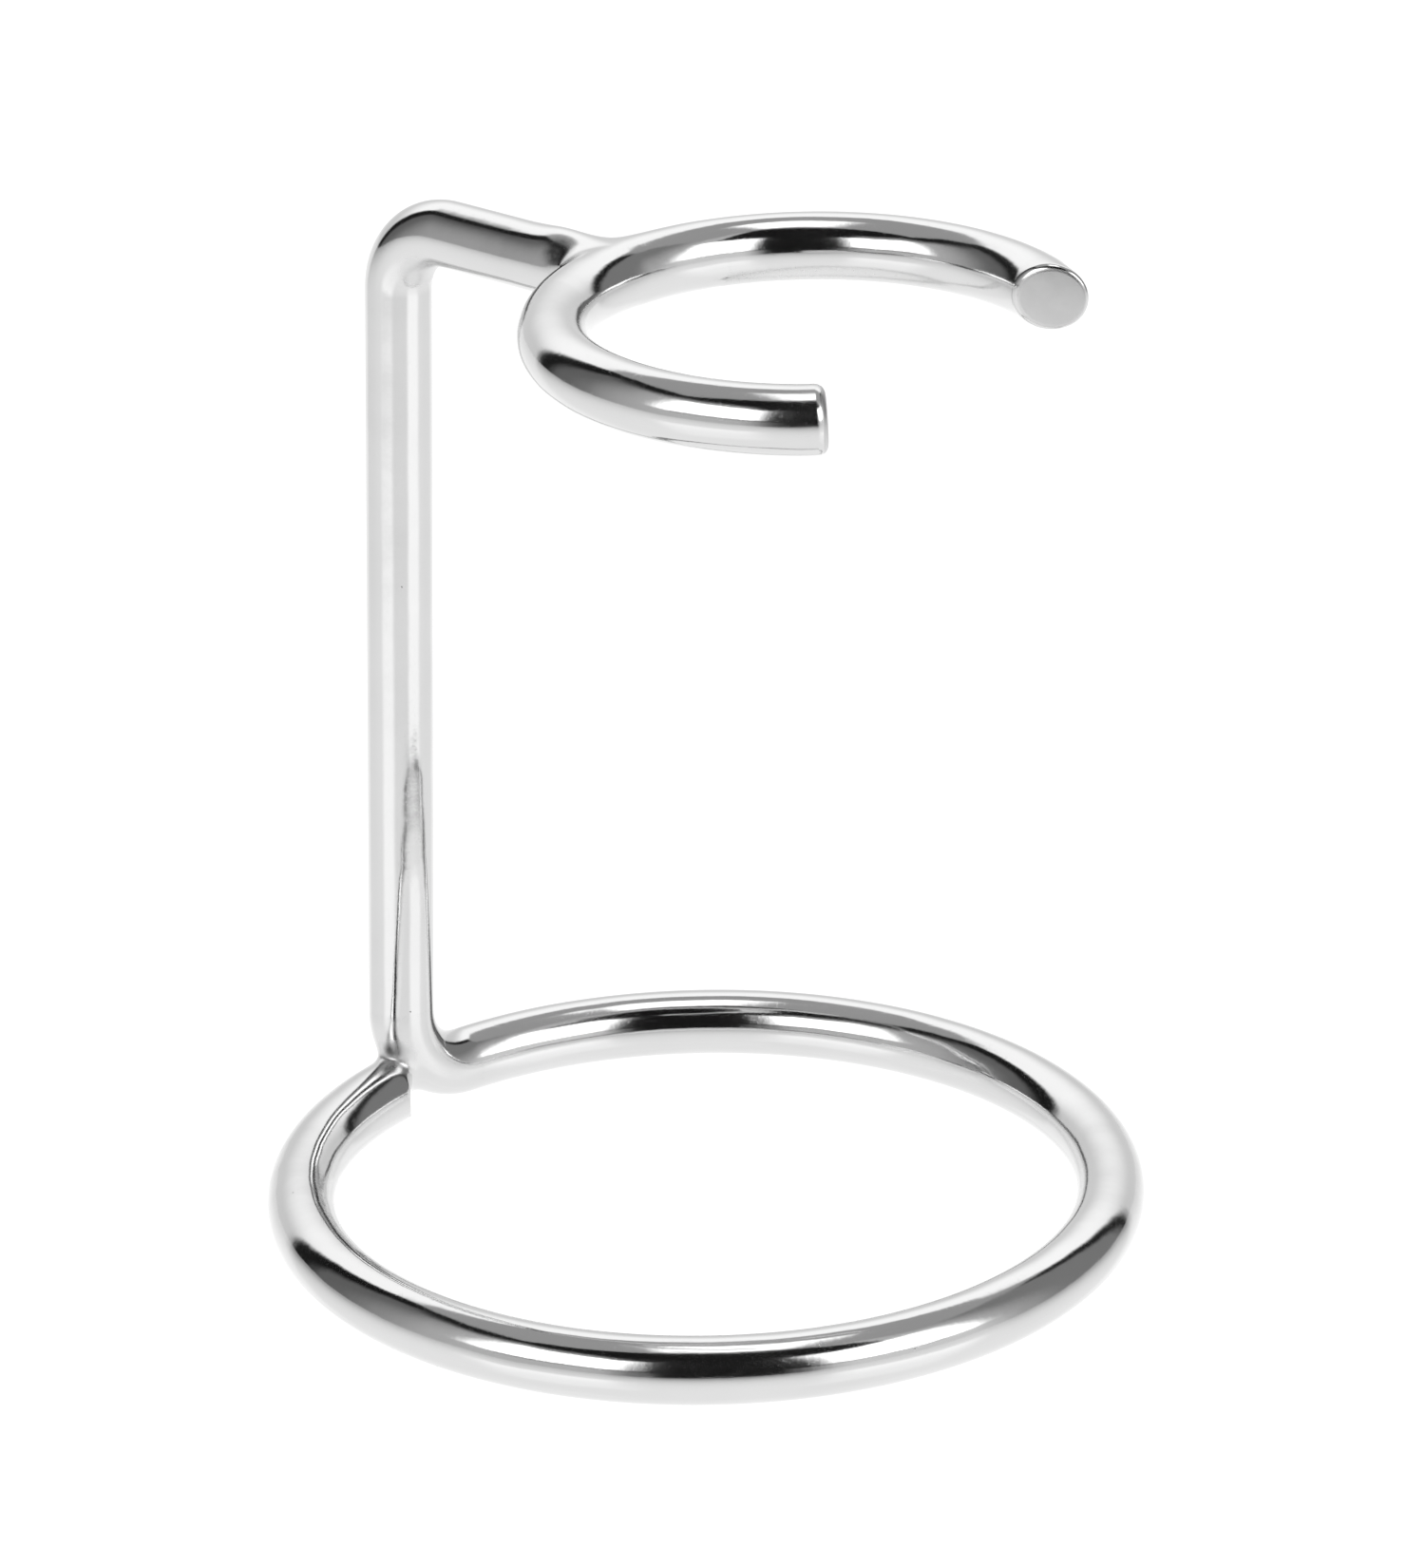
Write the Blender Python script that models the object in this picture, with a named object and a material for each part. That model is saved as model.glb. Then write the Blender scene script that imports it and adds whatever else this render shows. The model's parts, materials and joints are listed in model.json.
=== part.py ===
"""A chromed wire stand that holds one shaving brush by its collar, bristles down.

One steel rod is bent into an open foot ring, a bend, an upright post, a second bend and a short arm.
A C-shaped holder ring of the same rod is welded to the end of the arm, and the free end of the foot
ring is welded back against the lower bend. Metres, +Z up. The origin is the centre of the foot ring
on the surface that the stand rests on, and the open side of the holder faces -Y and +X.
"""

from math import ceil, cos, pi, radians, sin, sqrt, tan

import bmesh
import bpy
from mathutils import Matrix, Vector

MM = 0.001

# The rod
ROD_RADIUS = 3.0 * MM
ROD_SIDES = 16
STEP_DEGREES = 6.0           # one facet of a ring
BEND_STEP_DEGREES = 15.0     # one facet of a tight bend

# The foot ring, measured to the middle of the rod
FOOT_RADIUS = 36.4 * MM
FOOT_START = radians(127.7)  # where the ring turns up into the lower bend

# The post
LOWER_BEND_RADIUS = 7.1 * MM
UPPER_BEND_RADIUS = 6.4 * MM
POST_LEAN = radians(1.45)    # towards +X
ARM_HEIGHT = 86.85 * MM      # the middle of the arm above the surface

# The arm and the holder ring, measured to the middle of the rod
ARM_HEADING = radians(-40.5)
HOLDER_REACH = 47.5 * MM     # from the post's corner to the middle of the holder
HOLDER_RADIUS = 22.2 * MM
HOLDER_GAP = radians(106.5)  # the mouth that the brush goes in by
HOLDER_TWIST = radians(6.0)  # the mouth's middle, past the line of the arm

# Ends, welds and gaps
END_CHAMFER = 0.35 * MM
CLEARANCE = 0.3 * MM         # between a weld and what it joins
WELD_LENGTH = 1.5 * MM       # the shortest stretch of weld metal
BEAD_PROUD = 0.2 * MM        # how far a weld stands out of the rod
ARM_WELD_FLARE = 1.4 * MM    # the arm's weld spreads sideways along the holder ring
RING_WELD_SHARE = 0.45       # the ring's weld reaches down to this share of the rod's diameter
CUTTER_EXTRA = 2.0 * MM

FULL_TURN = 2 * pi
UP = Vector((0, 0, 1))


def clear_scene():
    for obj in list(bpy.data.objects):
        bpy.data.objects.remove(obj)


def heading(angle):
    return Vector((cos(angle), sin(angle), 0))


def chrome(name, colour, roughness):
    material = bpy.data.materials.new(name)
    material.use_nodes = True
    shader = material.node_tree.nodes["Principled BSDF"]
    shader.inputs["Base Color"].default_value = (*colour, 1)
    shader.inputs["Metallic"].default_value = 1.0
    shader.inputs["Roughness"].default_value = roughness
    return material


def section(bm, centre, direction, radius, half_width=None):
    """The rod's outline across its direction: a polygon around the radius, with a flat at the bottom."""
    corner_radius = radius / cos(pi / ROD_SIDES)
    side = direction.cross(UP).normalized()
    wide = 1.0 if half_width is None else half_width / radius
    corners = []
    for i in range(ROD_SIDES):
        angle = (i + 0.5) * FULL_TURN / ROD_SIDES
        place = side * (sin(angle) * corner_radius * wide) + UP * (cos(angle) * corner_radius)
        corners.append(bm.verts.new(centre + place))
    return [bm.edges.new((corners[i], corners[(i + 1) % ROD_SIDES])) for i in range(ROD_SIDES)]


def edges_of(items):
    return [item for item in items if isinstance(item, bmesh.types.BMEdge)]


def turn(bm, edges, centre, axis, angle, step_degrees):
    """Carries the rod on round an arc, and returns its new last outline."""
    corners = list({vert for edge in edges for vert in edge.verts})
    steps = max(1, ceil(abs(angle) / radians(step_degrees)))
    made = bmesh.ops.spin(
        bm, geom=corners + edges, cent=centre, axis=axis, dvec=(0, 0, 0), angle=angle, steps=steps
    )
    return edges_of(made["geom_last"])


def run(bm, edges, move):
    """Carries the rod on in a straight line, and returns its new last outline."""
    made = bmesh.ops.extrude_edge_only(bm, edges=edges)
    corners = [item for item in made["geom"] if isinstance(item, bmesh.types.BMVert)]
    bmesh.ops.translate(bm, verts=corners, vec=move)
    return [edge for edge in edges_of(made["geom"]) if all(vert in corners for vert in edge.verts)]


def close_ends(bm, *ends):
    """Caps the rod's ends and returns the edges around the caps."""
    rims = []
    for end in ends:
        bmesh.ops.contextual_create(bm, geom=end)
        rims += end
    return rims


def finish(bm, name, material, chamfer_edges=()):
    if chamfer_edges:
        bmesh.ops.bevel(
            bm, geom=list(chamfer_edges), offset=END_CHAMFER, offset_type="OFFSET",
            segments=1, profile=0.5, affect="EDGES",
        )
    bmesh.ops.recalc_face_normals(bm, faces=bm.faces)
    mesh = bpy.data.meshes.new(name)
    bm.to_mesh(mesh)
    bm.free()
    mesh.shade_smooth()
    mesh.set_sharp_from_angle(angle=radians(30))
    obj = bpy.data.objects.new(name, mesh)
    bpy.context.collection.objects.link(obj)
    if material:
        mesh.materials.append(material)
    return obj


def as_cutter(obj):
    obj.hide_render = True
    obj.display_type = "WIRE"
    return obj


def cut(obj, cutter):
    modifier = obj.modifiers.new("cut_" + cutter.name, "BOOLEAN")
    modifier.operation = "DIFFERENCE"
    modifier.object = cutter


# ---- places that the pieces share ----

post_direction = Vector((sin(POST_LEAN), 0, cos(POST_LEAN)))
arm_direction = heading(ARM_HEADING)

ring_centre = Vector((0, 0, ROD_RADIUS))
bend_start = ring_centre + FOOT_RADIUS * heading(FOOT_START)
bend_direction = heading(FOOT_START + pi / 2)

# The lower bend turns from the ring's direction to the post's
lower_axis = bend_direction.cross(post_direction).normalized()
lower_centre = bend_start + LOWER_BEND_RADIUS * lower_axis.cross(bend_direction)
lower_angle = bend_direction.angle(post_direction)
post_foot = Matrix.Rotation(lower_angle, 4, lower_axis) @ (bend_start - lower_centre) + lower_centre

# The post's axis meets the arm's at the corner, and the upper bend rounds it off
post_length = (ARM_HEIGHT - post_foot.z) / post_direction.z
corner = post_foot + post_length * post_direction
upper_axis = post_direction.cross(arm_direction).normalized()
upper_angle = post_direction.angle(arm_direction)
upper_setback = UPPER_BEND_RADIUS * tan(upper_angle / 2)
upper_start = corner - upper_setback * post_direction
upper_centre = upper_start + UPPER_BEND_RADIUS * upper_axis.cross(post_direction)

holder_centre = corner + HOLDER_REACH * arm_direction
arm_end_reach = HOLDER_REACH - HOLDER_RADIUS - ROD_RADIUS - WELD_LENGTH

# The ring's free end stops one weld short of the bend, where the two would first touch
touch_distance = 2 * sqrt(LOWER_BEND_RADIUS * ROD_RADIUS)
FOOT_END = FOOT_START + (touch_distance + WELD_LENGTH) / FOOT_RADIUS


def make_frame_rod(material):
    bm = bmesh.new()
    free_end = section(
        bm, ring_centre + FOOT_RADIUS * heading(FOOT_END), heading(FOOT_END + pi / 2), ROD_RADIUS
    )
    ring_turn = FULL_TURN - (FOOT_END - FOOT_START)
    end = turn(bm, free_end, ring_centre, UP, ring_turn, STEP_DEGREES)
    end = turn(bm, end, lower_centre, lower_axis, lower_angle, BEND_STEP_DEGREES)
    end = run(bm, end, (post_length - upper_setback) * post_direction)
    end = turn(bm, end, upper_centre, upper_axis, upper_angle, BEND_STEP_DEGREES)
    arm_end = run(bm, end, (arm_end_reach - upper_setback) * arm_direction)
    rims = close_ends(bm, free_end, arm_end)
    return finish(bm, "frame_rod", material, rims)


def holder_arc(bm, radius, start, angle):
    place = holder_centre + HOLDER_RADIUS * heading(start)
    first = section(bm, place, heading(start + pi / 2), radius)
    last = turn(bm, first, holder_centre, UP, angle, STEP_DEGREES)
    return close_ends(bm, first, last)


def make_holder_ring(material):
    bm = bmesh.new()
    mouth_middle = ARM_HEADING + HOLDER_TWIST
    rims = holder_arc(bm, ROD_RADIUS, mouth_middle + HOLDER_GAP / 2, FULL_TURN - HOLDER_GAP)
    return finish(bm, "holder_ring", material, rims)


def make_arm_weld(material):
    """Weld metal between the arm's end and the holder ring, spreading sideways along the ring."""
    bm = bmesh.new()
    start_reach = arm_end_reach + CLEARANCE
    end_reach = HOLDER_REACH - HOLDER_RADIUS - ROD_RADIUS / 3
    start = section(
        bm, corner + start_reach * arm_direction, arm_direction, ROD_RADIUS + BEAD_PROUD
    )
    end = section(
        bm, corner + end_reach * arm_direction, arm_direction, ROD_RADIUS, ROD_RADIUS + ARM_WELD_FLARE
    )
    bmesh.ops.bridge_loops(bm, edges=start + end)
    close_ends(bm, start, end)
    weld = finish(bm, "arm_weld", material)

    bm = bmesh.new()
    reach_angle = 2 * (ROD_RADIUS + ARM_WELD_FLARE + CUTTER_EXTRA) / HOLDER_RADIUS
    holder_arc(bm, ROD_RADIUS + CLEARANCE, ARM_HEADING + pi - reach_angle / 2, reach_angle)
    cut(weld, as_cutter(finish(bm, "holder_clearance", None)))
    return weld


def make_ring_weld(material):
    """Weld metal that closes the foot ring: it fills the top of the notch between free end and bend."""
    bm = bmesh.new()
    start_angle = FOOT_END - CLEARANCE / FOOT_RADIUS
    start = section(
        bm, ring_centre + FOOT_RADIUS * heading(start_angle), heading(start_angle + pi / 2),
        ROD_RADIUS,
    )
    weld_turn = -(touch_distance / 2 + WELD_LENGTH) / FOOT_RADIUS
    end = turn(bm, start, ring_centre, UP, weld_turn, STEP_DEGREES)
    close_ends(bm, start, end)
    weld = finish(bm, "ring_weld", material)

    bm = bmesh.new()
    start = section(bm, bend_start, bend_direction, ROD_RADIUS + CLEARANCE)
    end = turn(bm, start, lower_centre, lower_axis, lower_angle, BEND_STEP_DEGREES)
    end = run(bm, end, CUTTER_EXTRA * post_direction)
    close_ends(bm, start, end)
    cut(weld, as_cutter(finish(bm, "bend_clearance", None)))

    bm = bmesh.new()
    block = bmesh.ops.create_cube(bm, size=2 * (touch_distance + WELD_LENGTH))
    drop = RING_WELD_SHARE * 2 * ROD_RADIUS - (touch_distance + WELD_LENGTH)
    bmesh.ops.translate(bm, verts=block["verts"], vec=bend_start - ring_centre + drop * UP)
    cut(weld, as_cutter(finish(bm, "notch", None)))
    return weld


clear_scene()
polished = chrome("polished_chrome", (0.86, 0.86, 0.87), 0.04)
ground = chrome("ground_weld", (0.80, 0.80, 0.81), 0.12)
make_frame_rod(polished)
make_holder_ring(polished)
make_arm_weld(ground)
make_ring_weld(ground)
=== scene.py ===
# %% [markdown]
# # A chromed stand for a shaving brush
#
# The real stand is one steel rod, bent round a jig: an open foot ring, a bend, an upright post,
# another bend and a short arm. A C-shaped ring of the same rod is welded to the arm, and the brush
# hangs in it by its collar. Then everything is ground, polished and chrome plated.
#
# This lesson bends the rods with Blender's own edit-mode tools. It spends most of its care on the
# two things that make chrome look like chrome: a surface that isn't quite perfect, and a studio
# for it to mirror. The CAD model is loaded first, because every piece has to stay where it says.

import json
from math import atan2, ceil, cos, exp, pi, radians, sin, sqrt, tan

import bpy
from mathutils import Matrix, Vector

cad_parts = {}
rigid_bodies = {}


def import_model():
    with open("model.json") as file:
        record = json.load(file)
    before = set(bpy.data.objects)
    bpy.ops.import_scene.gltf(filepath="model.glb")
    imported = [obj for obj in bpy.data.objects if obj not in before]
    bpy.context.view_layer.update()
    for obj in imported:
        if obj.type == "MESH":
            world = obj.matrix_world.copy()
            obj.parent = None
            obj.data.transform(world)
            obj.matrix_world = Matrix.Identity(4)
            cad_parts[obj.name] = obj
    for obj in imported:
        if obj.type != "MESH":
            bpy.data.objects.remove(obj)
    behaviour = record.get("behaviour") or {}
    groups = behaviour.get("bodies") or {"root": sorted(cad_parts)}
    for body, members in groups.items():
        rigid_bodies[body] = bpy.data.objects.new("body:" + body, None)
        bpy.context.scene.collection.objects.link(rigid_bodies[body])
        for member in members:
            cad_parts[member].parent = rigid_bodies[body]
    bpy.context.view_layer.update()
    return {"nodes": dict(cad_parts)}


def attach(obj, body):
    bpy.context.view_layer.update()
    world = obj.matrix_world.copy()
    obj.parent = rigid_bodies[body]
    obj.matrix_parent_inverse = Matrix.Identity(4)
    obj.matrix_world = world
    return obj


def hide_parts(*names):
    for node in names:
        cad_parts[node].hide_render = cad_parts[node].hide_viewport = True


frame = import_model()

MM = 0.001
FULL_TURN = 2 * pi
UP = Vector((0, 0, 1))
print("CAD pieces:", sorted(frame["nodes"]))

# %% [markdown]
# ## The camera
#
# A long lens from three quarters of a metre away shows a small product without stretching it. The
# camera looks down by about 23 degrees, which opens both rings into ellipses. Blender's camera
# looks along its own -Z, so turning it by 90 degrees about X makes it level, and a smaller turn
# makes it look down.

# %% Place the camera
CAMERA_PLACE = Vector((0, -679.56, 326.20)) * MM
CAMERA_LENS = 191.94
LOOK_DOWN = radians(22.67)
LOOK_ASIDE = radians(-0.10)
ROLL = radians(-0.93)

bpy.ops.object.select_all(action="DESELECT")
bpy.ops.object.camera_add()
camera = bpy.context.object
camera.data.lens = CAMERA_LENS
tilt = Matrix.Rotation(pi / 2 - LOOK_DOWN, 4, "X")
aside = Matrix.Rotation(LOOK_ASIDE, 4, "Z")
roll = Matrix.Rotation(ROLL, 4, "Z")
camera.matrix_world = Matrix.Translation(CAMERA_PLACE) @ aside @ tilt @ roll
bpy.context.scene.camera = camera
print("camera at", CAMERA_PLACE, "with a", CAMERA_LENS, "mm lens")

# %% [markdown]
# ## A studio for chrome to mirror
#
# Chrome has no colour of its own: it shows the room. A product studio builds that room on
# purpose, from a glossy white table, a white sweep behind, a big soft lamp on each side, and black
# gaps between them. The black gaps draw the dark lines that make a round bar look round.
#
# Here the room is one large ball of light around the stand, hidden from the camera. Its light
# comes from nodes that know two things about each direction: the azimuth, which is 0 towards the
# camera and grows to the right, and the elevation above the table. Each lamp is a soft-edged patch
# of those two angles, painted over the ones before it.

# %% Small helpers for node trees
def new_material(name):
    """A material whose node tree is empty, and its output."""
    material = bpy.data.materials.new(name)
    material.use_nodes = True
    nodes = material.node_tree.nodes
    nodes.clear()
    return material, nodes, material.node_tree.links, nodes.new("ShaderNodeOutputMaterial")


def feed(links, socket, value):
    """Puts a number on a socket, or links another node's output to it."""
    if isinstance(value, bpy.types.NodeSocket):
        links.new(value, socket)
    else:
        socket.default_value = value


def maths(nodes, links, operation, *values):
    node = nodes.new("ShaderNodeMath")
    node.operation = operation
    for socket, value in zip(node.inputs, values):
        feed(links, socket, value)
    return node.outputs[0]


def step(nodes, links, value, start, end, low=0.0, high=1.0):
    """Goes smoothly from low to high while the value goes from start to end."""
    node = nodes.new("ShaderNodeMapRange")
    node.interpolation_type = "SMOOTHSTEP"
    names = ("Value", "From Min", "From Max", "To Min", "To Max")
    for name, setting in zip(names, (value, start, end, low, high)):
        feed(links, node.inputs[name], setting)
    return node.outputs["Result"]


def blend_numbers(nodes, links, share, first, second):
    node = nodes.new("ShaderNodeMix")
    node.data_type = "FLOAT"
    feed(links, node.inputs["Factor"], share)
    feed(links, node.inputs["A"], first)
    feed(links, node.inputs["B"], second)
    return node.outputs["Result"]


print("node helpers ready")

# %% The lamps and walls, in degrees
DARK_ROOM = 0.012
LAMP_LIGHT = 3.0
# Each line is a name, the azimuths and elevations it spans, the widths of its four soft edges, its
# light at one side and the other, and the azimuths of those two lights, or None where it is even
AROUND = (
    ("right wall", (60, 131), (-8, 76), (4, 6, 4, 8), (0.62, 0.25), (70, 104)),
    ("left wall", (239, 306), (-8, 54), (9, 4, 4, 10), (0.16, 0.55), (250, 292)),
    ("under the right lamp", (18, 84), (-8, 14), (18, 18, 4, 4), (0.85, 0.85), None),
    ("under the left lamp", (288, 352), (-8, 15), (16, 24, 4, 4), (0.62, 0.62), None),
    ("above the left lamp", (282, 338), (46, 58), (20, 14, 4, 8), (0.4, 0.4), None),
    ("left lamp", (290, 346), (13, 50), (16, 16, 6, 5), (LAMP_LIGHT, LAMP_LIGHT), None),
    ("right lamp", (24, 80), (11, 53), (14, 16, 6, 7), (LAMP_LIGHT, LAMP_LIGHT), None),
)
# The sweep behind narrows upwards, by this many degrees for each degree of height, and it is
# brighter higher up, where the lamps light it
SWEEP_HALF_WIDTH = 52
SWEEP_TURN = -3
SWEEP_NARROWS = 0.18
SWEEP_SOFT = 7
SWEEP_TOP = 51
SWEEP_TOP_SOFT = 5
SWEEP_LIGHT = (0.82, 1.38)
SWEEP_LIGHT_AT = (8, 36)
# Patches on the ceiling, by how far they reach sideways and backwards for each unit of height
OVERHEAD = (
    ("ceiling", (-0.62, 0.75), (-0.16, 0.90), (0.06, 0.10, 0.05, 0.10), 0.42),
    ("overhead lamp", (-0.14, 0.26), (-0.10, 0.42), (0.08, 0.08, 0.05, 0.10), 2.0),
)
print(len(AROUND) + len(OVERHEAD) + 1, "patches of light")

# %% Paint the ball of light
BALL_RADIUS = 1.5
BALL_MIDDLE = Vector((0, 0, 45 * MM))
BEHIND = 180.0
LEAST_RISE = 0.01            # keeps the ceiling's sums away from a division by zero


def patch_mask(nodes, links, first, second, spans, softs):
    """1 inside both spans, fading to 0 over the soft edges."""
    (low_1, high_1), (low_2, high_2) = spans
    soft_low_1, soft_high_1, soft_low_2, soft_high_2 = softs
    mask = step(nodes, links, first, low_1, low_1 + soft_low_1)
    for value, start, end in (
        (first, high_1, high_1 - soft_high_1),
        (second, low_2, low_2 + soft_low_2),
        (second, high_2, high_2 - soft_high_2),
    ):
        mask = maths(nodes, links, "MULTIPLY", mask, step(nodes, links, value, start, end))
    return mask


def studio_light():
    material, nodes, links, output = new_material("studio_light")
    place = nodes.new("ShaderNodeTexCoord").outputs["Object"]
    unit = nodes.new("ShaderNodeVectorMath")
    unit.operation = "NORMALIZE"
    links.new(place, unit.inputs[0])
    split = nodes.new("ShaderNodeSeparateXYZ")
    links.new(unit.outputs[0], split.inputs[0])
    right, back, rise = split.outputs

    front = maths(nodes, links, "MULTIPLY", back, -1.0)
    azimuth = maths(nodes, links, "DEGREES", maths(nodes, links, "ARCTAN2", right, front))
    azimuth = maths(nodes, links, "WRAP", azimuth, 360.0, 0.0)
    elevation = maths(nodes, links, "DEGREES", maths(nodes, links, "ARCSINE", rise))

    light = DARK_ROOM
    for name, azimuths, elevations, softs, levels, level_at in AROUND:
        mask = patch_mask(nodes, links, azimuth, elevation, (azimuths, elevations), softs)
        level = step(nodes, links, azimuth, *level_at, *levels) if level_at else levels[0]
        light = blend_numbers(nodes, links, mask, light, level)

    height = maths(nodes, links, "MAXIMUM", rise, LEAST_RISE)
    across = maths(nodes, links, "DIVIDE", right, height)
    behind = maths(nodes, links, "DIVIDE", back, height)
    for name, sideways, backwards, softs, level in OVERHEAD:
        mask = patch_mask(nodes, links, across, behind, (sideways, backwards), softs)
        light = blend_numbers(nodes, links, mask, light, level)

    aside = maths(nodes, links, "SUBTRACT", azimuth, BEHIND - SWEEP_TURN)
    aside = maths(nodes, links, "ABSOLUTE", aside)
    aside = maths(nodes, links, "MULTIPLY_ADD", elevation, SWEEP_NARROWS, aside)
    side_mask = step(nodes, links, aside, SWEEP_HALF_WIDTH, SWEEP_HALF_WIDTH - SWEEP_SOFT)
    top_mask = step(nodes, links, elevation, SWEEP_TOP, SWEEP_TOP - SWEEP_TOP_SOFT)
    mask = maths(nodes, links, "MULTIPLY", side_mask, top_mask)
    level = step(nodes, links, elevation, *SWEEP_LIGHT_AT, *SWEEP_LIGHT)
    light = blend_numbers(nodes, links, mask, light, level)

    glow = nodes.new("ShaderNodeEmission")
    links.new(light, glow.inputs["Strength"])
    links.new(glow.outputs[0], output.inputs["Surface"])
    material.cycles.emission_sampling = "NONE"
    return material


bpy.ops.object.select_all(action="DESELECT")
bpy.ops.mesh.primitive_ico_sphere_add(subdivisions=5, radius=BALL_RADIUS, location=BALL_MIDDLE)
ball = bpy.context.object
ball.name = "studio_ball"
ball.data.materials.append(studio_light())
ball.visible_camera = False
print("ball of light:", len(ball.data.polygons), "faces")

# %% [markdown]
# ## The table
#
# The table is a sheet of glossy white acrylic, lit from below, so the stand seems to float on
# white. The gloss is a clear coat: it hides more and more of the white beneath as the view gets
# flatter, and that is what darkens the lowest rim of light in the chrome. The world behind is
# plain white.

# %% Lay the table
TABLE_SIZE = 30
TABLE_LIGHT = 1.15

bpy.ops.object.select_all(action="DESELECT")
bpy.ops.mesh.primitive_plane_add(size=TABLE_SIZE)
table = bpy.context.object
table.name = "table"
material, nodes, links, output = new_material("glossy_acrylic")
acrylic = nodes.new("ShaderNodeBsdfPrincipled")
acrylic.inputs["Base Color"].default_value = (0.02, 0.02, 0.02, 1)
acrylic.inputs["Specular IOR Level"].default_value = 0.0
acrylic.inputs["Roughness"].default_value = 1.0
acrylic.inputs["Coat Weight"].default_value = 1.0
acrylic.inputs["Coat Roughness"].default_value = 0.12
acrylic.inputs["Coat IOR"].default_value = 1.45
acrylic.inputs["Emission Color"].default_value = (1, 1, 1, 1)
acrylic.inputs["Emission Strength"].default_value = TABLE_LIGHT
links.new(acrylic.outputs[0], output.inputs["Surface"])
material.cycles.emission_sampling = "NONE"
table.data.materials.append(material)

world = bpy.data.worlds.new("white")
bpy.context.scene.world = world
world.use_nodes = True
world.node_tree.nodes["Background"].inputs["Color"].default_value = (1, 1, 1, 1)
bpy.context.scene.view_settings.view_transform = "Standard"
print("table and white world ready")

# %% [markdown]
# ## Where the rod goes
#
# These are the sizes that the stand's maker would set on the jig. The rest follows from them: where
# the foot ring turns up, where the post starts, and where the arm meets the holder. A bend between
# two straight directions turns about an axis that is square to both.

# %% The jig's sizes
ROD_RADIUS = 3.0 * MM
FOOT_RADIUS = 36.4 * MM
FOOT_START = radians(127.7)
LOWER_BEND_RADIUS = 7.1 * MM
UPPER_BEND_RADIUS = 6.4 * MM
POST_LEAN = radians(1.45)
ARM_HEIGHT = 86.85 * MM
ARM_HEADING = radians(-40.5)
HOLDER_REACH = 47.5 * MM
HOLDER_RADIUS = 22.2 * MM
HOLDER_GAP = radians(106.5)
HOLDER_TWIST = radians(6.0)


def heading(angle):
    return Vector((cos(angle), sin(angle), 0))


post_direction = Vector((sin(POST_LEAN), 0, cos(POST_LEAN)))
arm_direction = heading(ARM_HEADING)
ring_centre = Vector((0, 0, ROD_RADIUS))
bend_start = ring_centre + FOOT_RADIUS * heading(FOOT_START)
bend_direction = heading(FOOT_START + pi / 2)
lower_axis = bend_direction.cross(post_direction).normalized()
lower_centre = bend_start + LOWER_BEND_RADIUS * lower_axis.cross(bend_direction)
lower_angle = bend_direction.angle(post_direction)
post_foot = Matrix.Rotation(lower_angle, 4, lower_axis) @ (bend_start - lower_centre) + lower_centre
post_length = (ARM_HEIGHT - post_foot.z) / post_direction.z
corner = post_foot + post_length * post_direction
upper_axis = post_direction.cross(arm_direction).normalized()
upper_angle = post_direction.angle(arm_direction)
upper_setback = UPPER_BEND_RADIUS * tan(upper_angle / 2)
upper_start = corner - upper_setback * post_direction
upper_centre = upper_start + UPPER_BEND_RADIUS * upper_axis.cross(post_direction)
holder_centre = corner + HOLDER_REACH * arm_direction
arm_length = HOLDER_REACH - HOLDER_RADIUS - ROD_RADIUS
print("post foot", post_foot, "corner", corner, "holder centre", holder_centre)

# %% [markdown]
# ## Bending a rod
#
# A rod could be a curve with a round bevel, but a curve's points have to be placed by eye. Here it
# is made as the bender makes it: a circle of points is the rod's cut end, Spin carries it round
# each bend, and Extrude carries it along each straight. The points of one bend are the start of the
# next, so the rod has no seams.

# %% Tools for bending
ROD_SIDES = 64
RING_STEP = radians(1.5)
BEND_STEP = radians(3.0)
RIM_STEPS = 6
SMOOTH_BELOW = radians(35)
SHARP_ABOVE = radians(45)
MERGE_BELOW = 0.001 * MM
END_REACH = 3 * ROD_RADIUS       # far enough to take in one end of a rod and nothing else
WHOLE_REACH = 1.0                # far enough to take in all of a piece


def start_rod(name, place, direction):
    """Adds the rod's first outline, and leaves it selected in edit mode."""
    bpy.ops.object.select_all(action="DESELECT")
    turn = direction.to_track_quat("Z", "Y").to_euler()
    bpy.ops.mesh.primitive_circle_add(
        vertices=ROD_SIDES, radius=ROD_RADIUS, location=place, rotation=turn
    )
    rod = bpy.context.object
    rod.name = name
    bpy.ops.object.transform_apply(location=True, rotation=True, scale=True)
    bpy.ops.object.mode_set(mode="EDIT")
    bpy.ops.mesh.select_all(action="SELECT")
    return rod


def bend_rod(centre, axis, angle, step_angle):
    """Carries the outline round the axis. With no window Spin turns the other way, hence the minus."""
    steps = ceil(abs(angle) / step_angle)
    bpy.ops.mesh.spin(steps=steps, angle=-angle, center=centre, axis=axis)


def push_rod(move):
    bpy.ops.mesh.extrude_region_move(TRANSFORM_OT_translate={"value": move})


def close_rod():
    """Fills both ends, and leaves edit mode with smooth sides."""
    bpy.ops.mesh.select_all(action="SELECT")
    bpy.ops.mesh.remove_doubles(threshold=MERGE_BELOW)
    bpy.ops.mesh.fill_holes(sides=0)
    bpy.ops.mesh.select_all(action="SELECT")
    bpy.ops.mesh.normals_make_consistent(inside=False)
    bpy.ops.object.mode_set(mode="OBJECT")
    bpy.ops.object.shade_smooth_by_angle(angle=SMOOTH_BELOW)


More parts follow.
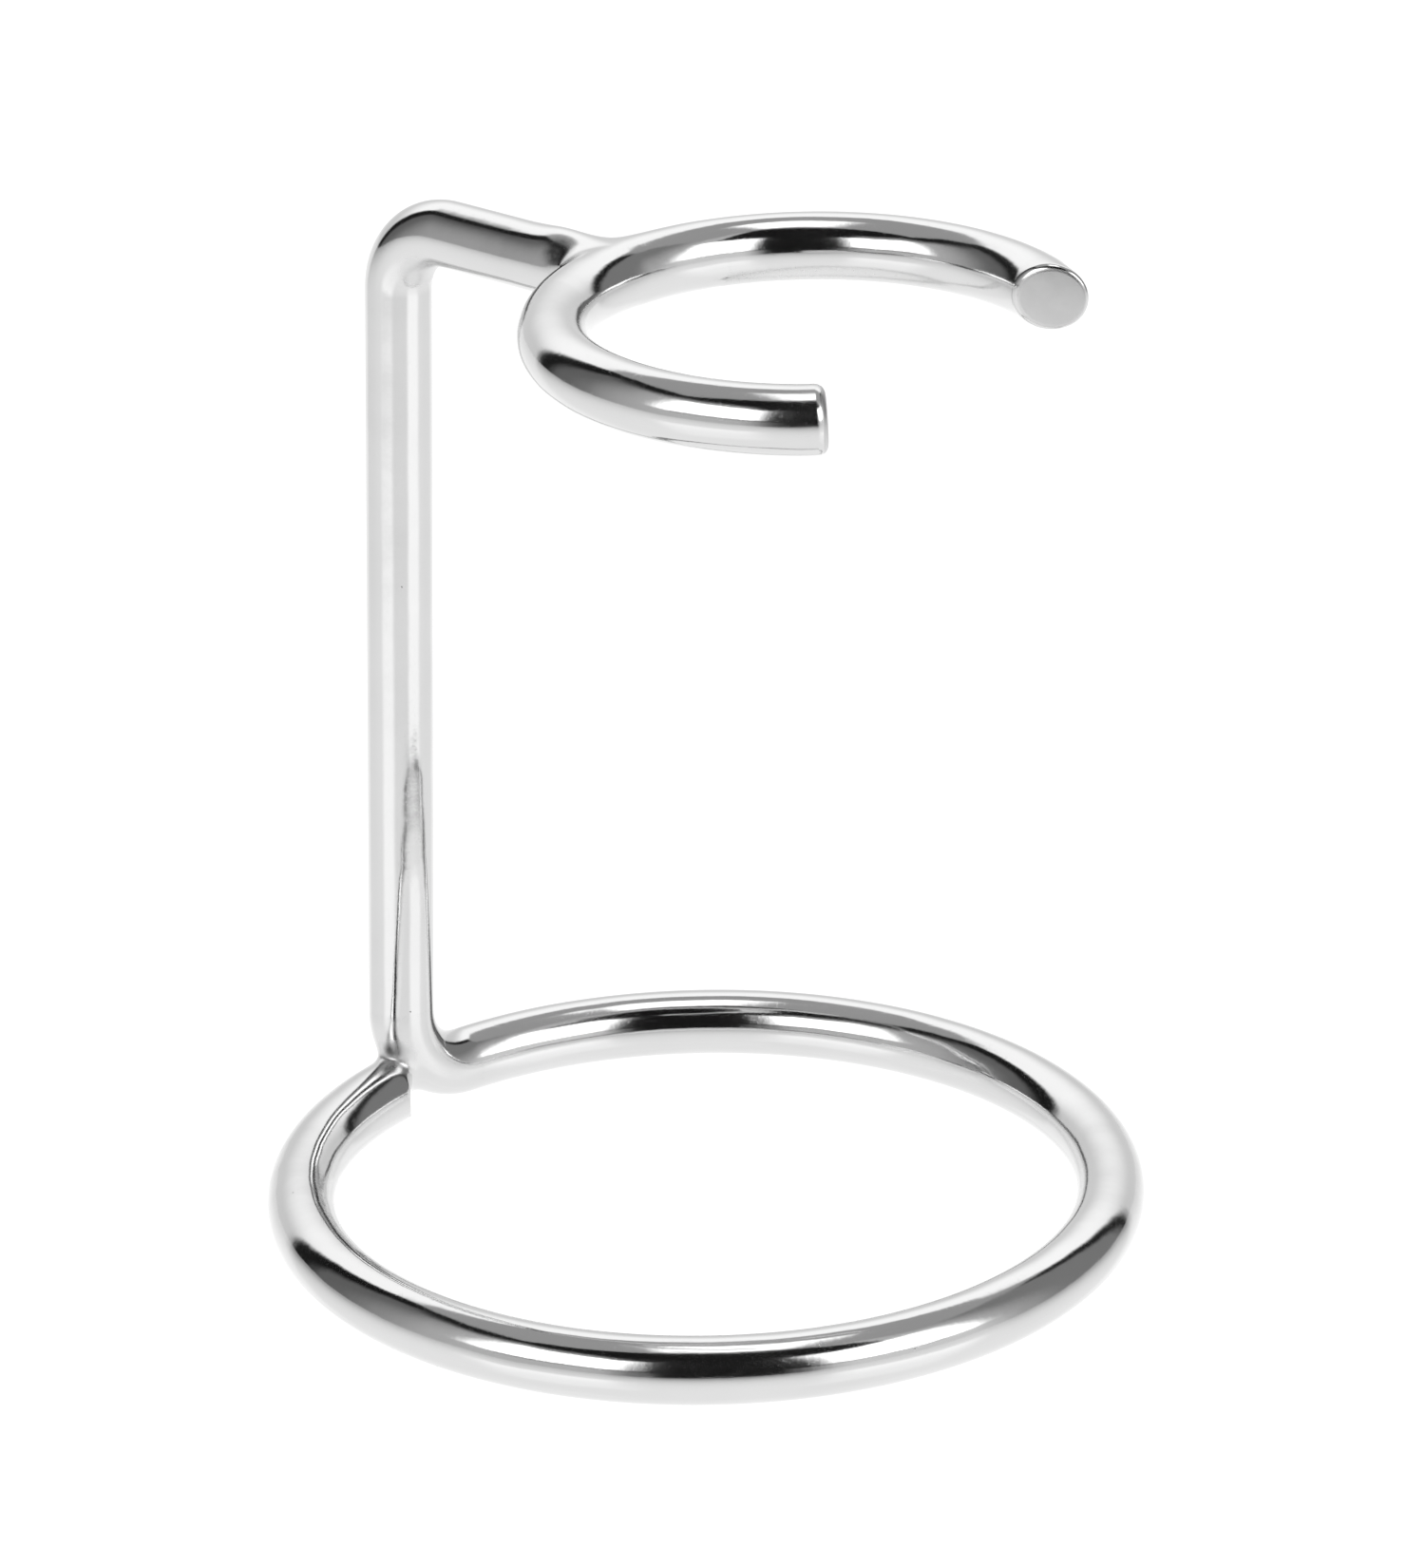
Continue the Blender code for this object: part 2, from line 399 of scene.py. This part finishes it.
def select_where(piece, test):
    """Selects the points that pass a test, and leaves edit mode on."""
    bpy.ops.object.mode_set(mode="EDIT")
    bpy.ops.mesh.select_mode(type="VERT")
    bpy.ops.mesh.select_all(action="DESELECT")
    bpy.ops.object.mode_set(mode="OBJECT")
    for vertex in piece.data.vertices:
        vertex.select = test(vertex.co)
    bpy.ops.object.mode_set(mode="EDIT")


def select_near(piece, place, reach):
    select_where(piece, lambda point: (point - place).length < reach)


def saw_off(piece, place, direction, reach=WHOLE_REACH):
    """Cuts off what lies beyond a plane, within reach of the place, and closes the cut."""
    select_near(piece, place, reach)
    bpy.ops.mesh.bisect(plane_co=place, plane_no=direction, use_fill=True, clear_outer=True)
    bpy.ops.object.mode_set(mode="OBJECT")


def round_end(piece, place, round_by):
    """Rounds the rim of one end. Everything else is hidden while its sharp edges are found."""
    select_near(piece, place, END_REACH)
    bpy.ops.mesh.hide(unselected=True)
    bpy.ops.mesh.select_all(action="DESELECT")
    bpy.ops.mesh.select_mode(type="EDGE")
    bpy.ops.mesh.edges_select_sharp(sharpness=SHARP_ABOVE)
    bpy.ops.mesh.bevel(offset=round_by, segments=RIM_STEPS, profile=0.5, affect="EDGES")
    bpy.ops.mesh.reveal(select=False)
    bpy.ops.object.mode_set(mode="OBJECT")
    bpy.ops.object.shade_smooth_by_angle(angle=SMOOTH_BELOW)


def describe(piece):
    print(piece.name, "has", len(piece.data.polygons), "faces")


print("rod tools ready:", ROD_SIDES, "sides")

# %% [markdown]
# ## The frame rod
#
# The rod starts at the foot ring's free end, goes once round, turns up into the post, and turns
# again into the arm. Both of its cut ends are buried in weld metal later.

# %% Bend the frame rod
TOUCH_DISTANCE = 2 * sqrt(LOWER_BEND_RADIUS * ROD_RADIUS)
WELD_LENGTH = 1.5 * MM
FOOT_END = FOOT_START + (TOUCH_DISTANCE + WELD_LENGTH) / FOOT_RADIUS


def on_foot(angle):
    return ring_centre + FOOT_RADIUS * heading(angle)


frame_rod = start_rod("frame_rod_chrome", on_foot(FOOT_END), heading(FOOT_END + pi / 2))
bend_rod(ring_centre, UP, FULL_TURN - (FOOT_END - FOOT_START), RING_STEP)
bend_rod(lower_centre, lower_axis, lower_angle, BEND_STEP)
push_rod((post_length - upper_setback) * post_direction)
bend_rod(upper_centre, upper_axis, upper_angle, BEND_STEP)
push_rod((arm_length - upper_setback) * arm_direction)
close_rod()
describe(frame_rod)

# %% [markdown]
# ## The holder ring
#
# The C is one spin of the same outline. Its two ends stay in sight, at the mouth that the brush
# goes in by. The far end, at the back right, was sawn well aslant, and only its edge was taken off.
# The near one was sawn almost square and ground rounder. The rod is spun a little too long and then
# sawn with Bisect. Each end is one long step of the spin, because a rounded rim needs plain faces
# that are longer than it is.

# %% Bend the holder ring
FAR_CUT = radians(-98)         # the way that the far cut faces
FAR_ROUND = 0.6 * MM
NEAR_TILT = radians(2)         # the near cut leans back by this much
NEAR_ROUND = 0.9 * MM
SAW_SPARE = 2.5 * MM           # rod that is sawn off
FAR_STRETCH = 2.4 * MM         # the long steps, on the side that stays
NEAR_STRETCH = 2.2 * MM

mouth_middle = ARM_HEADING + HOLDER_TWIST
far_end = mouth_middle + HOLDER_GAP / 2
near_end = mouth_middle - HOLDER_GAP / 2 + FULL_TURN
spun_from = far_end - SAW_SPARE / HOLDER_RADIUS
far_turn = (SAW_SPARE + FAR_STRETCH) / HOLDER_RADIUS
near_turn = NEAR_STRETCH / HOLDER_RADIUS


def on_holder(angle):
    return holder_centre + HOLDER_RADIUS * heading(angle)


holder_ring = start_rod("holder_ring_chrome", on_holder(spun_from), heading(spun_from + pi / 2))
bend_rod(holder_centre, UP, far_turn, far_turn)
bend_rod(holder_centre, UP, near_end - spun_from - far_turn - near_turn, RING_STEP)
bend_rod(holder_centre, UP, near_turn + SAW_SPARE / HOLDER_RADIUS, FULL_TURN)
close_rod()
near_cut = cos(NEAR_TILT) * heading(near_end + pi / 2) + sin(NEAR_TILT) * UP
saw_off(holder_ring, on_holder(far_end), heading(FAR_CUT), END_REACH)
saw_off(holder_ring, on_holder(near_end), near_cut, END_REACH)
round_end(holder_ring, on_holder(far_end), FAR_ROUND)
round_end(holder_ring, on_holder(near_end), NEAR_ROUND)
describe(holder_ring)

# %% [markdown]
# ## Weld metal
#
# A weld that has been ground and plated is a smooth web between two rods, with no edge that a
# fingernail would catch. Bevel can't make it, because it has no edge to follow where two round rods
# meet. So each weld starts as plain stubs of the rods, which a Remesh modifier fuses into one skin
# of small even faces. The stubs' ends are trimmed off, every point of the skin is pulled to where
# the blended surface lies, and the open ends are closed with fans of triangles.
#
# The blend is a little sum: a point's distance from one rod and from the other are joined by a
# minimum with a rounded corner, and the corner is rounder where the rods face different ways.
# Away from the weld the skin sinks just under the rods, so that no seam shows.

# %% Distances from a rod
WELD_GRAIN = 0.2 * MM          # the size of the skin's faces
WELD_PROUD = 0.008 * MM        # how far it stands out of the rods at the weld
WELD_SUNK = 0.014 * MM         # and how far it is under them at its ends
SPREAD = 1.5                   # how far a rounded corner reaches, for its size
PULLS = 4                      # each pull lands closer to the surface


def nearest_on_line(point, start, direction, length):
    return start + direction * min(max((point - start).dot(direction), 0), length)


def nearest_on_arc(point, centre, axis, start, angle):
    first = start - centre
    second = axis.cross(first)
    offset = point - centre
    turned = atan2(offset.dot(second), offset.dot(first))
    turned = min(max(turned, 0), angle)
    return centre + first * cos(turned) + second * sin(turned)


def skin_of(point, nearest):
    """How far the point is outside a rod, and which way is out."""
    out = point - nearest
    return out.length - ROD_RADIUS, out.normalized()


def join_skins(first, second, rounding):
    """A minimum with a rounded corner, which bends no mirror image sharply."""
    apart = min(1, 1 - first[1].dot(second[1]))
    reach = max(SPREAD * rounding * apart, WELD_PROUD)
    lower, upper = (first, second) if first[0] < second[0] else (second, first)
    share = max(reach - (upper[0] - lower[0]), 0) / reach
    out = lower[1] * (1 - share ** 2 / 2) + upper[1] * (share ** 2 / 2)
    return lower[0] - share ** 3 * reach / 6, out.normalized()


def smooth(value, start, end):
    share = min(max((value - start) / (end - start), 0), 1)
    return share * share * (3 - 2 * share)


print("distance tools ready")

# %% Fuse stubs and pull the skin into place
def fuse(stubs, name, cuts):
    """Joins the stubs into one even skin, and deletes what is beyond each cut."""
    bpy.ops.object.select_all(action="DESELECT")
    for stub in stubs:
        stub.select_set(True)
    bpy.context.view_layer.objects.active = stubs[0]
    bpy.ops.object.join()
    weld = bpy.context.object
    weld.name = name
    remesh = weld.modifiers.new("one skin", "REMESH")
    remesh.mode = "VOXEL"
    remesh.voxel_size = WELD_GRAIN
    bpy.ops.object.modifier_apply(modifier=remesh.name)

    def beyond(point):
        return any((point - place).dot(direction) > 0 for place, direction in cuts)

    select_where(weld, beyond)
    bpy.ops.mesh.delete(type="VERT")
    bpy.ops.object.mode_set(mode="OBJECT")
    return weld


def pull_skin(weld, surface, middle, sink_from, sink_to):
    """Moves each point along the way out until it lies on the surface, then closes the open ends."""
    for vertex in weld.data.vertices:
        point = vertex.co.copy()
        for turn in range(PULLS):
            distance, out = surface(point)
            sunk = smooth((point - middle).length, sink_from, sink_to)
            point -= (distance - WELD_PROUD * (1 - sunk) + WELD_SUNK * sunk) * out
        vertex.co = point
    bpy.ops.object.select_all(action="DESELECT")
    weld.select_set(True)
    bpy.context.view_layer.objects.active = weld
    bpy.ops.object.mode_set(mode="EDIT")
    bpy.ops.mesh.select_all(action="SELECT")
    bpy.ops.mesh.fill_holes(sides=0)
    bpy.ops.mesh.select_mode(type="FACE")
    bpy.ops.mesh.select_all(action="DESELECT")
    bpy.ops.mesh.select_face_by_sides(number=4, type="GREATER")
    bpy.ops.mesh.poke()
    bpy.ops.mesh.select_all(action="SELECT")
    bpy.ops.mesh.normals_make_consistent(inside=False)
    bpy.ops.object.mode_set(mode="OBJECT")
    bpy.ops.object.shade_smooth_by_angle(angle=SMOOTH_BELOW)
    describe(weld)


print("weld tools ready")

# %% The arm's weld
ARM_WELD_BACK = 12.5 * MM      # how far back along the arm the skin starts
ARM_WELD_SPREAD = radians(36)  # and how far along the holder ring
ARM_WELD_FAR = 5.2 * MM        # the web on the side away from the mouth
ARM_WELD_TOP = 3.4 * MM        # the smaller web on top of the near side
ARM_WELD_NEAR = 0.5 * MM       # the tight corner below it
HUMP_BACK = 6.1 * MM           # a low hump on the arm, just before the holder ring
HUMP_SIZE = 2.4 * MM
HUMP_HEIGHT = 0.24 * MM
ARM_WELD_SIDES = (-1.5 * MM, 2.0 * MM)    # across the arm, from the near corner to the far web
ARM_WELD_LEVELS = (-0.6 * MM, 1.6 * MM)   # upwards, from the tight corner to the top web
ARM_WELD_SINKS = (9.0 * MM, 13.0 * MM)    # from the joint, where the skin starts and ends sinking
SPARE = 1.0 * MM                          # extra stub, trimmed off after the Remesh

arm_heading_back = ARM_HEADING + pi
arm_stub_start = corner + (arm_length - ARM_WELD_BACK) * arm_direction
arm_side = UP.cross(arm_direction)
arm_joint = on_holder(arm_heading_back)
arm_axis_end = HOLDER_REACH - HOLDER_RADIUS
hump_place = arm_joint - HUMP_BACK * arm_direction + ROD_RADIUS * UP


def arm_weld_surface(point):
    on_arm = nearest_on_line(point, corner, arm_direction, arm_axis_end)
    arc_start = on_holder(arm_heading_back - 2 * ARM_WELD_SPREAD)
    on_ring = nearest_on_arc(point, holder_centre, UP, arc_start, 4 * ARM_WELD_SPREAD)
    far_side = smooth((point - arm_joint).dot(arm_side), *ARM_WELD_SIDES)
    high = smooth(point.z - arm_joint.z, *ARM_WELD_LEVELS)
    near_side = ARM_WELD_NEAR + (ARM_WELD_TOP - ARM_WELD_NEAR) * high
    rounding = near_side + (ARM_WELD_FAR - near_side) * far_side
    distance, out = join_skins(skin_of(point, on_arm), skin_of(point, on_ring), rounding)
    hump = HUMP_HEIGHT * exp(-((point - hump_place).length / HUMP_SIZE) ** 2)
    return distance - hump, out


arm_stub = start_rod("arm_stub", arm_stub_start - SPARE * arm_direction, arm_direction)
push_rod((ARM_WELD_BACK + SPARE + 2 * ROD_RADIUS) * arm_direction)
close_rod()
spread_start = arm_heading_back - ARM_WELD_SPREAD
spread_end = arm_heading_back + ARM_WELD_SPREAD
extra_turn = SPARE / HOLDER_RADIUS
stub_start = spread_start - extra_turn
holder_stub = start_rod("holder_stub", on_holder(stub_start), heading(stub_start + pi / 2))
bend_rod(holder_centre, UP, 2 * (ARM_WELD_SPREAD + extra_turn), RING_STEP)
close_rod()
arm_weld = fuse([arm_stub, holder_stub], "arm_weld_chrome", (
    (arm_stub_start, -arm_direction),
    (on_holder(spread_start), heading(spread_start - pi / 2)),
    (on_holder(spread_end), heading(spread_end + pi / 2)),
))
pull_skin(arm_weld, arm_weld_surface, arm_joint, *ARM_WELD_SINKS)

# %% [markdown]
# ## The ring's weld
#
# The foot ring's free end is sawn off upright, and its top is welded to the bend. The saw cut is a
# flat plane, so here the free end's distance is also held to one side of that plane, by a maximum
# with a small rounded corner.

# %% The ring's weld
SAW_PLACE = Vector((-27.1, 21.0, 3.0)) * MM
SAW_DIRECTION = heading(radians(2.2))
SAW_ROUND = (0.3 * MM, 2.2 * MM)          # the cut's edge is crisp low down and round at the top
SAW_ROUND_LEVELS = (2.5 * MM, 5.4 * MM)
RING_WELD_ROUND = 1.3 * MM
RING_WELD_SINKS = (6.0 * MM, 9.5 * MM)
FREE_FROM = radians(154)
FREE_TO = radians(131)
BEND_FROM = radians(112)
RING_BEFORE_BEND = radians(90)
POST_STUB = 4.0 * MM

ring_joint = Vector((-27.6, 24.0, 3.5)) * MM


def opposite(skin):
    return -skin[0], -skin[1]


def ring_weld_surface(point):
    on_free = nearest_on_arc(point, ring_centre, UP, on_foot(FREE_TO), FULL_TURN)
    saw = ((point - SAW_PLACE).dot(SAW_DIRECTION), SAW_DIRECTION)
    high = smooth(point.z, *SAW_ROUND_LEVELS)
    corner_round = SAW_ROUND[0] + (SAW_ROUND[1] - SAW_ROUND[0]) * high
    free_end = opposite(join_skins(opposite(skin_of(point, on_free)), opposite(saw), corner_round))
    ring_turn = FOOT_START - RING_BEFORE_BEND
    candidates = (
        nearest_on_arc(point, ring_centre, UP, on_foot(RING_BEFORE_BEND), ring_turn),
        nearest_on_arc(point, lower_centre, lower_axis, bend_start, lower_angle),
        nearest_on_line(point, post_foot, post_direction, post_length),
    )
    on_bend = min(candidates, key=lambda place: (point - place).length)
    return join_skins(free_end, skin_of(point, on_bend), RING_WELD_ROUND)


free_stub = start_rod("free_stub", on_foot(FREE_TO), heading(FREE_TO + pi / 2))
bend_rod(ring_centre, UP, FREE_FROM - FREE_TO + SPARE / FOOT_RADIUS, RING_STEP)
close_rod()
saw_off(free_stub, SAW_PLACE, SAW_DIRECTION)
bend_from = BEND_FROM - SPARE / FOOT_RADIUS
bend_stub = start_rod("bend_stub", on_foot(bend_from), heading(bend_from + pi / 2))
bend_rod(ring_centre, UP, FOOT_START - bend_from, RING_STEP)
bend_rod(lower_centre, lower_axis, lower_angle, BEND_STEP)
push_rod((POST_STUB + SPARE) * post_direction)
close_rod()
ring_weld = fuse([free_stub, bend_stub], "ring_weld_chrome", (
    (on_foot(FREE_FROM), heading(FREE_FROM + pi / 2)),
    (on_foot(BEND_FROM), heading(BEND_FROM - pi / 2)),
    (post_foot + POST_STUB * post_direction, post_direction),
))
pull_skin(ring_weld, ring_weld_surface, ring_joint, *RING_WELD_SINKS)

# %% [markdown]
# ## Chrome that isn't perfect
#
# A perfect mirror looks like a drawing. Real plated steel has several small faults, each of its own
# size: a slow waviness from drawing and bending the rod, a smaller ripple, a fine mottle left by
# polishing, hairline scratches, a few pits, and patches where the plating is a little hazier. The
# first three bend the reflections, so they go into Bump. Hairlines and pits go into Bump and
# Roughness, and hazy patches into Roughness. Pits and patches change the tone a little too. All are
# read from Object coordinates, in metres.
#
# The rest belongs to places. The polishing wheel doesn't reach into the notches or under the bends,
# so the chrome is duller there. Two spots on the welds are darkened in their colour as painted
# shade: painted shade in the crease where the arm meets the holder ring, and a painted dark
# reflection of the free end's cut on the bend just above it.

# %% Build the chrome
CHROME_COLOUR = 0.66
CHROME_ROUGHNESS = 0.09
CHROME_HAZE = 0.05
WAVE = (7 * MM, 0.12 * MM)       # each is a size and a depth
RIPPLE = (2 * MM, 0.010 * MM)
MOTTLE = (0.45 * MM, 0.0028 * MM)
PATCH_SIZE = 11 * MM
TONE_SPREAD = 0.02
# Each family of hairlines is noise that is turned and squeezed. It shows only where the noise is
# high: not at all below the first limit, and fully above the second
HAIR_SIZE = 5 * MM
HAIR_FAMILIES = (
    ((0.4, 0.2, 0.9), (22, 1, 22), (0.64, 0.70)),
    ((1.2, 0.7, -0.5), (1, 26, 26), (0.66, 0.72)),
)
HAIR_DEPTH = 0.0008 * MM
HAIR_ROUGHNESS = 0.06
PIT_SPACING = 4.5 * MM
PIT_SIZE = 0.12 * MM
PIT_DEPTH = 0.03 * MM
PIT_ROUGHNESS = 0.35
PIT_DARKNESS = 0.35
PIT_CLUSTER = 6 * MM
PIT_CLUSTER_LIMITS = (0.52, 0.58)
RAGGED_SIZE = 0.7 * MM           # breaks up the edges of the places
RAGGED_LEAST = 0.7
UNDERSIDE = (-0.15, -0.40)       # how far the surface faces down, from where it counts to fully


def noise(nodes, links, place, size, detail=2.0, turned=None, squeezed=None):
    """Noise whose blobs are about as big as size, and can be turned and squeezed into hairs."""
    if squeezed:
        mapping = nodes.new("ShaderNodeMapping")
        links.new(place, mapping.inputs["Vector"])
        mapping.inputs["Rotation"].default_value = turned
        mapping.inputs["Scale"].default_value = squeezed
        place = mapping.outputs[0]
    node = nodes.new("ShaderNodeTexNoise")
    links.new(place, node.inputs["Vector"])
    node.inputs["Scale"].default_value = 1 / size
    node.inputs["Detail"].default_value = detail
    return node.outputs["Fac"]


def bump(nodes, links, height, depth, normal=None):
    node = nodes.new("ShaderNodeBump")
    node.inputs["Strength"].default_value = 1.0
    node.inputs["Distance"].default_value = depth
    links.new(height, node.inputs["Height"])
    if normal:
        links.new(normal, node.inputs["Normal"])
    return node.outputs[0]


def near(nodes, links, place, middle, inner, outer):
    """1 close to the middle, fading to 0 at the outer distance."""
    away = nodes.new("ShaderNodeVectorMath")
    away.operation = "DISTANCE"
    links.new(place, away.inputs[0])
    away.inputs[1].default_value = middle
    return step(nodes, links, away.outputs["Value"], outer, inner)


def at_places(nodes, links, position, places, mask, value, sign=1):
    """Adds each place's amount to a value, as far as the mask lets it."""
    for middle, inner, outer, amount in places:
        spot = near(nodes, links, position, middle, inner, outer)
        spot = maths(nodes, links, "MULTIPLY", spot, mask)
        value = maths(nodes, links, "MULTIPLY_ADD", spot, sign * amount, value)
    return value


def grey(nodes, links, tone, shader):
    colour = nodes.new("ShaderNodeCombineColor")
    for channel in colour.inputs:
        links.new(tone, channel)
    links.new(colour.outputs[0], shader.inputs["Base Color"])


def chrome(name, dull_spots=(), dull_undersides=(), painted_shade_spots=()):
    """Chrome plate. Each place is a middle, where its effect is full, where it ends, and how much."""
    material, nodes, links, output = new_material(name)
    shader = nodes.new("ShaderNodeBsdfPrincipled")
    links.new(shader.outputs[0], output.inputs["Surface"])
    shader.inputs["Metallic"].default_value = 1.0
    place = nodes.new("ShaderNodeTexCoord").outputs["Object"]

    waves = noise(nodes, links, place, WAVE[0], 1.0)
    ripples = noise(nodes, links, place, RIPPLE[0], 1.0)
    mottles = noise(nodes, links, place, MOTTLE[0], 3.0)
    patches = noise(nodes, links, place, PATCH_SIZE, 3.0)

    cells = nodes.new("ShaderNodeTexVoronoi")
    links.new(place, cells.inputs["Vector"])
    cells.inputs["Scale"].default_value = 1 / PIT_SPACING
    pit_edge = PIT_SIZE / PIT_SPACING
    pits = step(nodes, links, cells.outputs["Distance"], pit_edge, 0.4 * pit_edge)
    clusters = noise(nodes, links, place, PIT_CLUSTER, 0.0)
    pits = maths(nodes, links, "MULTIPLY", pits, step(nodes, links, clusters, *PIT_CLUSTER_LIMITS))

    families = []
    for turned, squeezed, limits in HAIR_FAMILIES:
        family = noise(nodes, links, place, HAIR_SIZE, 2.0, turned, squeezed)
        families.append(step(nodes, links, family, *limits))
    hairs = maths(nodes, links, "MAXIMUM", *families)

    hazy = CHROME_ROUGHNESS + CHROME_HAZE
    rough = step(nodes, links, patches, 0.40, 0.75, CHROME_ROUGHNESS, hazy)
    rough = maths(nodes, links, "MULTIPLY_ADD", hairs, HAIR_ROUGHNESS, rough)
    rough = maths(nodes, links, "MULTIPLY_ADD", pits, PIT_ROUGHNESS, rough)
    ragged = noise(nodes, links, place, RAGGED_SIZE, 2.0)
    ragged = step(nodes, links, ragged, 0.35, 0.65, RAGGED_LEAST, 1.0)
    facing = nodes.new("ShaderNodeSeparateXYZ")
    links.new(nodes.new("ShaderNodeNewGeometry").outputs["Normal"], facing.inputs[0])
    underside = step(nodes, links, facing.outputs["Z"], *UNDERSIDE)
    rough = at_places(nodes, links, place, dull_spots, ragged, rough)
    rough = at_places(nodes, links, place, dull_undersides, underside, rough)
    links.new(rough, shader.inputs["Roughness"])

    darkest = CHROME_COLOUR * (1 - TONE_SPREAD)
    lightest = CHROME_COLOUR * (1 + TONE_SPREAD)
    tone = step(nodes, links, patches, 0.2, 0.8, darkest, lightest)
    tone = maths(nodes, links, "MULTIPLY_ADD", pits, -PIT_DARKNESS, tone)
    # Painted shade: the tone is darkened at the given spots, a crease where shade falls and a dark
    # reflection painted on.
    tone = at_places(nodes, links, place, painted_shade_spots, ragged, tone, -1)
    grey(nodes, links, tone, shader)

    normal = bump(nodes, links, waves, WAVE[1])
    normal = bump(nodes, links, ripples, RIPPLE[1], normal)
    normal = bump(nodes, links, mottles, MOTTLE[1], normal)
    normal = bump(nodes, links, hairs, -HAIR_DEPTH, normal)
    normal = bump(nodes, links, pits, -PIT_DEPTH, normal)
    links.new(normal, shader.inputs["Normal"])
    return material


print("chrome tools ready")

# %% The places that are duller, or darker by painted shade
CREASE = Vector((-11.4, 9.2, 88.9)) * MM        # where the arm's top meets the holder ring
NOTCH = Vector((-28.2, 22.9, 6.6)) * MM         # where the free end meets the bend
ABOVE_NOTCH = Vector((-28.4, 22.3, 9.0)) * MM
PAINTED_REFLECTION_SPOT = Vector((-28.8, 22.0, 7.1)) * MM          # a small painted dark reflection of the free end's cut, above the notch
UNDER_BEND = Vector((-25.3, 21.5, 82.0)) * MM   # the wheel can't reach inside the upper bend
UNDER_BACK = Vector((10.3, 12.9, 85.0)) * MM    # nor under the back of the holder

polished_chrome = chrome(
    "polished_chrome",
    (
        (on_holder(near_end), 2.5 * MM, 6.5 * MM, 0.09),
        (on_holder(far_end), 2.5 * MM, 5.0 * MM, 0.05),
    ),
    (
        (UNDER_BEND, 2.5 * MM, 6.0 * MM, 0.22),
        (UNDER_BACK, 9.0 * MM, 17.0 * MM, 0.14),
    ),
)
plated_weld = chrome(
    "plated_weld",
    (
        (CREASE, 1.0 * MM, 2.2 * MM, 0.12),
        (NOTCH, 1.3 * MM, 2.6 * MM, 0.30),
        (ABOVE_NOTCH, 1.0 * MM, 5.0 * MM, 0.12),
    ),
    # Painted shade: the crease where the arm meets the holder ring is darkened where shade falls, and a
    # dark reflection of the free end's cut is painted on the bend above the notch.
    painted_shade_spots=(
        (CREASE, 0.6 * MM, 2.0 * MM, 0.50),
        (PAINTED_REFLECTION_SPOT, 0.2 * MM, 1.1 * MM, 0.50),
    ),
)
print("chrome ready:", len(polished_chrome.node_tree.nodes), "nodes")

# %% [markdown]
# ## The cut ends
#
# A sawn end is polished less than the rod, because it is hard to reach. It is the same plate with a
# satin finish, and the saw's fine lines still show through as a low, stretched bump.

# %% Give the cut ends their finish
SATIN_LINES = (0.9 * MM, 0.004 * MM)     # a size and a depth
SATIN_LINES_TURNED = (0, 0, 0.3)
SATIN_LINES_SQUEEZED = (1, 1, 9)
SATIN_PATCH = 2.5 * MM
SATIN_ROUGHNESS = (0.30, 0.42)
SATIN_COLOUR = (0.56, 0.62)
SATIN_SLOT = 1
FAR_RIM_STEPS = 2                        # how many rows of the rounded rim are satin too
NEAR_RIM_STEPS = 4


def satin_cut():
    material, nodes, links, output = new_material("satin_cut")
    shader = nodes.new("ShaderNodeBsdfPrincipled")
    links.new(shader.outputs[0], output.inputs["Surface"])
    shader.inputs["Metallic"].default_value = 1.0
    place = nodes.new("ShaderNodeTexCoord").outputs["Object"]
    size, depth = SATIN_LINES
    lines = noise(nodes, links, place, size, 3.0, SATIN_LINES_TURNED, SATIN_LINES_SQUEEZED)
    patches = noise(nodes, links, place, SATIN_PATCH, 3.0)
    rough = step(nodes, links, patches, 0.3, 0.7, *SATIN_ROUGHNESS)
    links.new(rough, shader.inputs["Roughness"])
    grey(nodes, links, step(nodes, links, patches, 0.3, 0.7, *SATIN_COLOUR), shader)
    links.new(bump(nodes, links, lines, depth), shader.inputs["Normal"])
    return material


def finish_end(piece, place, rim_steps):
    """Finds the flat end near a place by its many corners, grows into its rim, and makes both satin."""
    select_near(piece, place, END_REACH)
    bpy.ops.mesh.hide(unselected=True)
    bpy.ops.mesh.select_mode(type="FACE")
    bpy.ops.mesh.select_all(action="DESELECT")
    bpy.ops.mesh.select_face_by_sides(number=ROD_SIDES - 1, type="GREATER")
    for grow in range(rim_steps):
        bpy.ops.mesh.select_more()
    piece.active_material_index = SATIN_SLOT
    bpy.ops.object.material_slot_assign()
    bpy.ops.mesh.reveal(select=False)
    bpy.ops.object.mode_set(mode="OBJECT")
    satin_faces = [face for face in piece.data.polygons if face.material_index == SATIN_SLOT]
    print(piece.name, "satin faces:", len(satin_faces))


cut_finish = satin_cut()
for piece, material in (
    (frame_rod, polished_chrome),
    (holder_ring, polished_chrome),
    (arm_weld, plated_weld),
    (ring_weld, plated_weld),
):
    piece.data.materials.clear()
    piece.data.materials.append(material)
holder_ring.data.materials.append(cut_finish)
bpy.context.view_layer.objects.active = holder_ring
finish_end(holder_ring, on_holder(far_end), FAR_RIM_STEPS)
finish_end(holder_ring, on_holder(near_end), NEAR_RIM_STEPS)

# %% [markdown]
# ## Tell the frame what is what
#
# Each new piece rides on the stand's one body, replaces the CAD node that it details, and takes its
# finish from that node's slot.

# %% Ride, and hide the CAD nodes
for piece, node, slot in (
    (frame_rod, "frame_rod", "polished_chrome"),
    (holder_ring, "holder_ring", "polished_chrome"),
    (arm_weld, "arm_weld", "plated_weld"),
    (ring_weld, "ring_weld", "plated_weld"),
):
    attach(piece, "root")
    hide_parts(node)
print("four pieces ride on the stand")
